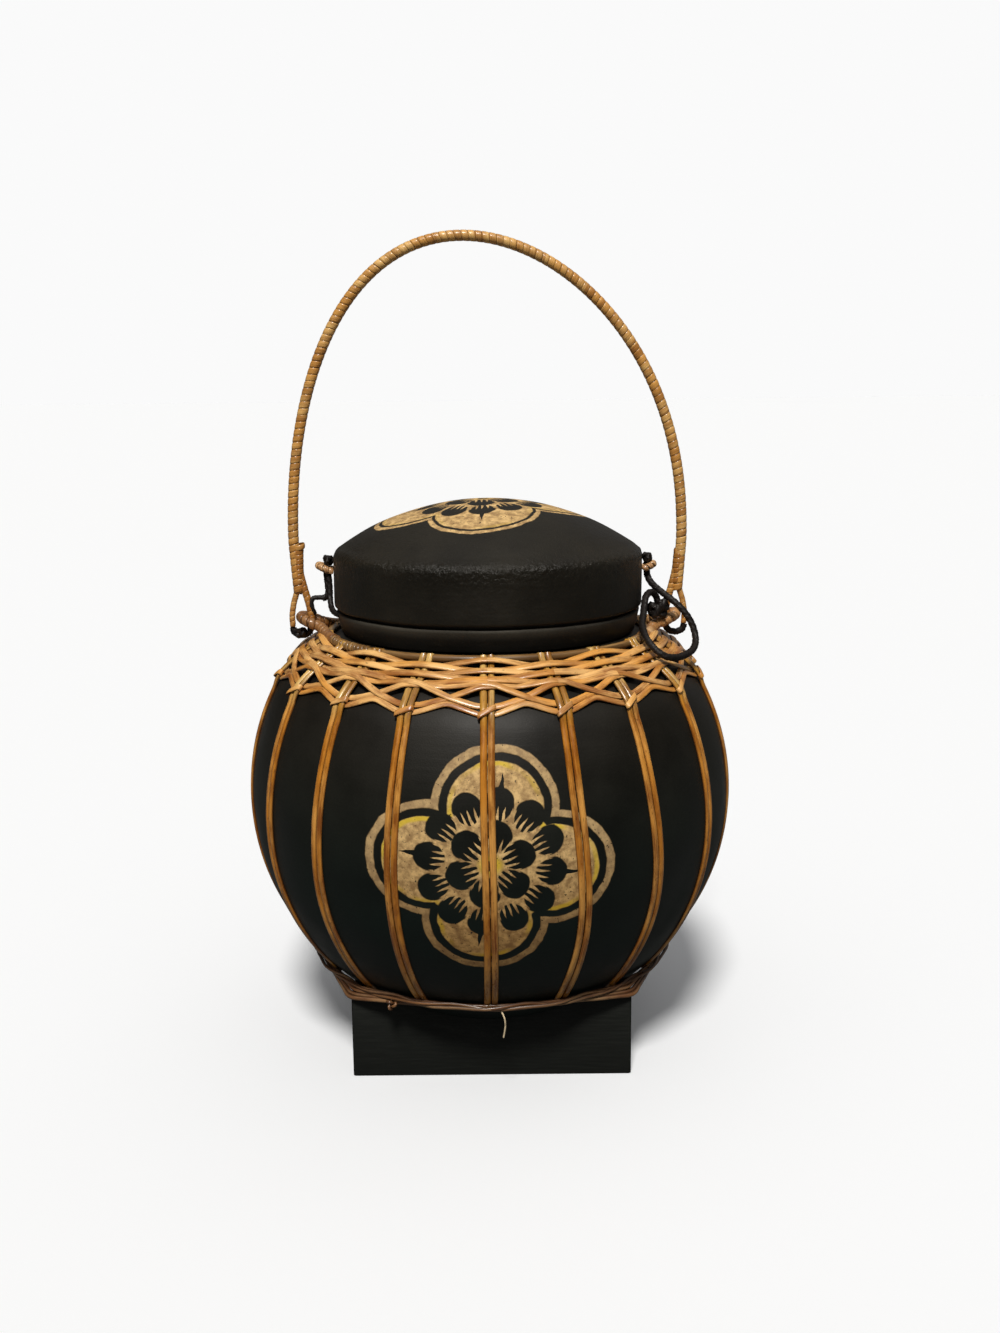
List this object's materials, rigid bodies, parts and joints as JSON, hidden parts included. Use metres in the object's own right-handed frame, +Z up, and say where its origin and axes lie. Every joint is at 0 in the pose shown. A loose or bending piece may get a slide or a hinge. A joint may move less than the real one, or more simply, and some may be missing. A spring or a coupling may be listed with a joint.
{
  "type": "lidded rice basket",
  "caption": "Covered globe basket of black lacquer on a square foot, caged in rattan with a woven collar, with a slip-over domed lid tied on by cords and a forked cane bail",
  "frame": {"origin": "on the floor, under the axis of the globe, at the middle of the square foot", "axes": "+Z up along the globe's axis; the front faces -Y; the bail's two pivots lie along X"},
  "size_m": [0.237, 0.24, 0.3939],
  "materials": {
    "lacquer": "matt black lacquer",
    "board_paint": "matt black paint",
    "rattan": "satin, orange-brown",
    "pale_rattan": "satin, golden tan",
    "brown_cane": "satin, aged brown",
    "waxed_cord": "waxed, black"
  },
  "bodies": {
    "basket": {"body_shell": "lacquer", "neck_ring": "lacquer", "seat_ring": "lacquer", "foot_board_front": "board_paint", "foot_board_right": "board_paint", "foot_board_back": "board_paint", "foot_board_left": "board_paint", "rib_01": "rattan", "rib_02": "rattan", "rib_03": "rattan", "rib_04": "rattan", "rib_05": "rattan", "rib_06": "rattan", "rib_07": "rattan", "rib_08": "rattan", "rib_09": "rattan", "rib_10": "rattan", "rib_11": "rattan", "rib_12": "rattan", "rib_13": "rattan", "rib_14": "rattan", "rib_15": "rattan", "rib_16": "rattan", "rib_17": "rattan", "rib_18": "rattan", "collar_hoop": "brown_cane", "collar_row_1": "pale_rattan", "collar_row_2": "pale_rattan", "collar_row_3": "pale_rattan", "collar_row_4": "pale_rattan", "collar_row_5": "pale_rattan", "collar_border_1": "pale_rattan", "collar_border_2": "pale_rattan", "collar_border_3": "pale_rattan", "collar_binder": "pale_rattan", "foot_twine_1": "rattan", "foot_twine_2": "rattan", "foot_lashing": "rattan", "ear_left": "brown_cane", "ear_right": "brown_cane", "ear_knot_right": "waxed_cord"},
    "lid": {"lid_dome": "lacquer", "lid_skirt": "lacquer", "lid_loop_left": "pale_rattan", "lid_loop_right": "pale_rattan", "lid_knot_left": "waxed_cord", "lid_knot_right": "waxed_cord", "lid_tie_left": "waxed_cord", "lid_cord_right": "waxed_cord"},
    "bail": {"bail_handle": "rattan", "bail_tie_left": "waxed_cord", "bail_tie_right": "waxed_cord", "leg_tie_left": "waxed_cord"}
  },
  "joints": [
    {"name": "lid_lift", "type": "slide", "parent": "basket", "child": "lid", "axis": [0, 0, 1], "range_m": [0, 0.03], "deforming": ["lid_tie_left", "lid_cord_right"]},
    {"name": "bail_swing", "type": "hinge", "parent": "basket", "child": "bail", "pos_m": [0, 0, 0.2104], "axis": [1, 0, 0], "range_deg": [-45, 45], "deforming": ["leg_tie_left"]}
  ]
}
